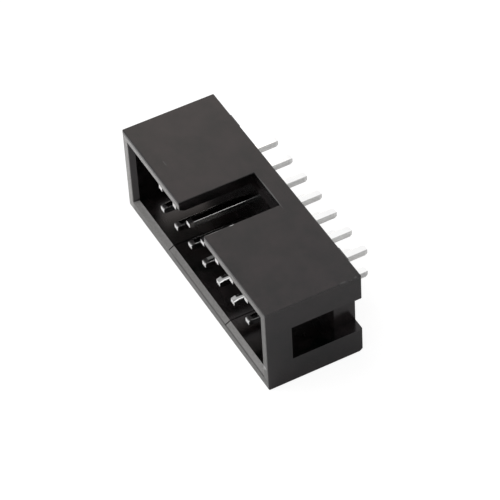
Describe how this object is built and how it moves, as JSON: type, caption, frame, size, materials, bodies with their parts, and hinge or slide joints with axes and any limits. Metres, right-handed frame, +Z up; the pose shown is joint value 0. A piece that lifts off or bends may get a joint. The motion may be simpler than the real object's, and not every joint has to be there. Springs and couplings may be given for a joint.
{
  "type": "box header",
  "caption": "Shrouded straight pin header with two rows of square pins, a key notch in one long wall and windowed end walls.",
  "frame": {"origin": "on the surface the header lies on, under the middle of its overall box, mating mouth to tail tips", "axes": "+X along the rows of pins, +Y from the mating mouth to the board tails, +Z up, through the long wall with the key notch"},
  "size_m": [0.0254, 0.012, 0.0088],
  "materials": {
    "housing_plastic": "fine satin moulded surface",
    "pin_metal": "bright tin plating"
  },
  "bodies": {
    "root": {"housing": "housing_plastic", "pin_01": "pin_metal", "pin_02": "pin_metal", "pin_03": "pin_metal", "pin_04": "pin_metal", "pin_05": "pin_metal", "pin_06": "pin_metal", "pin_07": "pin_metal", "pin_08": "pin_metal", "pin_09": "pin_metal", "pin_10": "pin_metal", "pin_11": "pin_metal", "pin_12": "pin_metal", "pin_13": "pin_metal", "pin_14": "pin_metal"}
  },
  "joints": []
}
